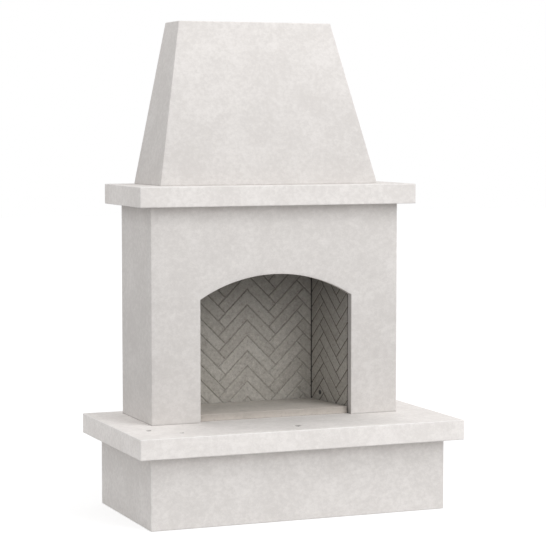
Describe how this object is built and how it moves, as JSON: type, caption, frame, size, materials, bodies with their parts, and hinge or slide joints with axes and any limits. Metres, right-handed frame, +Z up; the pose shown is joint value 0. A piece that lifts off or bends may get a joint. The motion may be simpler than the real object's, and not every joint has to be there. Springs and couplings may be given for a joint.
{
  "type": "outdoor fireplace",
  "caption": "Freestanding outdoor fireplace in cast concrete: hearth slab on a plinth, arched firebox lined with herringbone brick panels, mantel slab and tapered chimney hood.",
  "frame": {"origin": "on the ground, under the middle of the hearth slab", "axes": "+X to the right seen from the front, -Y out of the fire opening, +Z up"},
  "size_m": [1.7144, 0.947, 2.4642],
  "materials": {
    "cast_concrete": "matte",
    "refractory": "matte",
    "black_paint": "matte",
    "zinc_plated_steel": "satin",
    "stainless_sheet": "satin",
    "brass": "satin"
  },
  "bodies": {
    "fireplace": {"body_left_bracket": "zinc_plated_steel", "body_left_floor_bolt": "zinc_plated_steel", "body_left_wall_bolt": "zinc_plated_steel", "body_right_bracket": "zinc_plated_steel", "body_right_floor_bolt": "zinc_plated_steel", "body_right_wall_bolt": "zinc_plated_steel", "chimney_hood": "cast_concrete", "damper_bush_left": "brass", "damper_bush_right": "brass", "damper_frame": "black_paint", "face_flange_left": "black_paint", "face_flange_right": "black_paint", "firebox_back_sheet": "black_paint", "firebox_floor_pan": "black_paint", "firebox_left_sheet": "black_paint", "firebox_right_sheet": "black_paint", "firebox_top_plate": "black_paint", "fireplace_body": "cast_concrete", "flue_band": "stainless_sheet", "flue_lower": "stainless_sheet", "flue_upper": "stainless_sheet", "frame_beam_front": "zinc_plated_steel", "frame_beam_middle": "zinc_plated_steel", "frame_post_front_left": "zinc_plated_steel", "frame_post_front_right": "zinc_plated_steel", "frame_post_rear_left": "zinc_plated_steel", "frame_post_rear_right": "zinc_plated_steel", "frame_rail_front": "zinc_plated_steel", "frame_rail_left": "zinc_plated_steel", "frame_rail_rear": "zinc_plated_steel", "frame_rail_right": "zinc_plated_steel", "gas_sleeve": "zinc_plated_steel", "gas_sleeve_locknut": "brass", "hearth_base": "cast_concrete", "hearth_slab": "cast_concrete", "hood_left_bracket": "zinc_plated_steel", "hood_left_floor_bolt": "zinc_plated_steel", "hood_left_wall_bolt": "zinc_plated_steel", "hood_right_bracket": "zinc_plated_steel", "hood_right_floor_bolt": "zinc_plated_steel", "hood_right_wall_bolt": "zinc_plated_steel", "levelling_foot_front_left": "zinc_plated_steel", "levelling_foot_front_right": "zinc_plated_steel", "levelling_foot_rear_left": "zinc_plated_steel", "levelling_foot_rear_right": "zinc_plated_steel", "lintel_plate": "black_paint", "mantel_dowel_left": "zinc_plated_steel", "mantel_dowel_right": "zinc_plated_steel", "mantel_slab": "cast_concrete", "refractory_back": "refractory", "refractory_floor": "refractory", "refractory_left": "refractory", "refractory_right": "refractory", "smoke_dome": "black_paint", "spark_screen": "stainless_sheet", "top_flashing": "stainless_sheet"},
    "damper": {"damper_blade": "black_paint", "damper_shaft": "black_paint", "damper_handle": "black_paint"}
  },
  "joints": [
    {"name": "damper_hinge", "type": "hinge", "parent": "fireplace", "child": "damper", "pos_m": [0, 0.2691, 1.4392], "axis": [-1, 0, 0], "range_deg": [0, 75]}
  ]
}
